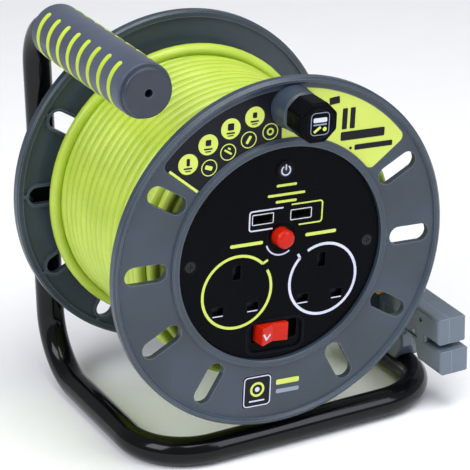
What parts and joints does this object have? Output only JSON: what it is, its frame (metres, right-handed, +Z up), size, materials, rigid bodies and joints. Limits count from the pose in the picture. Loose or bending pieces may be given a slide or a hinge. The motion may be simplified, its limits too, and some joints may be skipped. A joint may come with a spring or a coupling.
{
  "type": "extension cord reel",
  "caption": "Extension cord reel: cable wound between slotted flanges, mains sockets, charging ports, switch and cut-out in its face, crank knob, and a bent-tube stand with a soft grip.",
  "frame": {"origin": "middle of the whole object's footprint, on the floor under the stand's foot, cable left out", "axes": "+Z up, front of the drum with its sockets towards -Y, +X to the right seen from the front, the side with the plug park; the reel turns about an axle along Y"},
  "size_m": [0.2409, 0.2008, 0.2525],
  "materials": {
    "tube_paint": "gloss black stoving enamel on steel tube",
    "carrier_paint": "satin black powder coat",
    "zinc_steel": "bright zinc plate",
    "spring_steel": "drawn spring wire",
    "brass": "stamped brass",
    "slate_plastic": "moulded polypropylene, fine satin texture",
    "face_plastic": "polished near-black thermoplastic",
    "black_plastic": "moulded nylon",
    "knob_plastic": "semi-gloss moulded plastic",
    "nylon": "natural nylon",
    "cable_lime": "lime PVC sheath",
    "print_lime": "printed film",
    "print_black": "printed film",
    "grip_soft": "soft-touch overmould",
    "grip_lime": "soft-touch inlay",
    "red_plastic": "glossy red thermoplastic",
    "lens": "clear moulded lens",
    "board": "circuit board",
    "port_metal": "nickel-plated shell",
    "plug_plastic": "moulded plug body",
    "ceramic": "ceramic fuse tube"
  },
  "bodies": {
    "stand": {"frame_tube": "tube_paint", "tube_end_cap": "black_plastic", "hub_carrier": "carrier_paint", "carrier_clamps": "carrier_paint", "carrier_screws": "zinc_steel", "axle": "zinc_steel", "axle_nut": "zinc_steel", "axle_washer": "zinc_steel", "axle_clip": "spring_steel", "grip_core": "black_plastic", "grip": "grip_soft", "grip_ribs": "grip_lime", "grip_end_cap": "grip_soft", "grip_screw": "zinc_steel", "park_half_left": "slate_plastic", "park_half_right": "slate_plastic", "park_screws": "zinc_steel", "park_plate": "slate_plastic", "plug_base": "plug_plastic", "plug_cover": "plug_plastic", "plug_pins": "brass", "plug_fuse": "ceramic", "plug_screw": "zinc_steel", "plug_strain_relief": "plug_plastic", "cable_tail": "cable_lime"},
    "drum": {"front_flange": "slate_plastic", "rear_flange": "slate_plastic", "barrel": "slate_plastic", "drum_screws": "zinc_steel", "hub_bush": "nylon", "cable_coil": "cable_lime", "cable_gland": "black_plastic", "lead_inside": "cable_lime", "face_plate": "face_plastic", "face_screws": "zinc_steel", "module_back": "black_plastic", "live_busbar": "brass", "neutral_busbar": "brass", "earth_busbar": "brass", "spring_seats": "black_plastic", "charging_port_shells": "port_metal", "charging_port_tongues": "black_plastic", "charger_board": "board", "power_lens": "lens", "cutout_body": "black_plastic", "rocker_housing": "face_plastic", "label_dark": "print_black", "label_lime": "print_lime", "badge": "print_black", "knob_spindle": "slate_plastic", "knob_screws": "zinc_steel", "reset_spring": "spring_steel", "shutter_spring_left": "spring_steel", "shutter_spring_right": "spring_steel"},
    "knob": {"crank_knob": "knob_plastic", "knob_cap": "knob_plastic"},
    "rocker": {"rocker": "red_plastic"},
    "reset": {"reset_button": "red_plastic"},
    "shutter_left": {"shutter_left": "nylon"},
    "shutter_right": {"shutter_right": "nylon"}
  },
  "joints": [
    {"name": "drum_spin", "type": "hinge", "parent": "stand", "child": "drum", "pos_m": [-0.01325, 0.0598, 0.1265], "axis": [0, 1, 0], "continuous": true},
    {"name": "knob_spin", "type": "hinge", "parent": "drum", "child": "knob", "pos_m": [-0.00558, -0.0902, 0.21416], "axis": [0, 1, 0], "continuous": true},
    {"name": "rocker_switch", "type": "hinge", "parent": "drum", "child": "rocker", "pos_m": [-0.02076, -0.0626, 0.07931], "axis": [0.0698, 0, 0.9976], "range_deg": [-20, 0]},
    {"name": "reset_press", "type": "slide", "parent": "drum", "child": "reset", "axis": [0, 1, 0], "range_m": [0, 0.0025], "stiffness_N_per_m": 400, "springref_m": -0.002, "deforming": ["reset_spring"]},
    {"name": "shutter_left_slide", "type": "slide", "parent": "drum", "child": "shutter_left", "axis": [-0.0698, 0, -0.9976], "range_m": [0, 0.0058], "stiffness_N_per_m": 60, "springref_m": -0.003, "deforming": ["shutter_spring_left"]},
    {"name": "shutter_right_slide", "type": "slide", "parent": "drum", "child": "shutter_right", "axis": [-0.0698, 0, -0.9976], "range_m": [0, 0.0058], "stiffness_N_per_m": 60, "springref_m": -0.003, "deforming": ["shutter_spring_right"]}
  ]
}
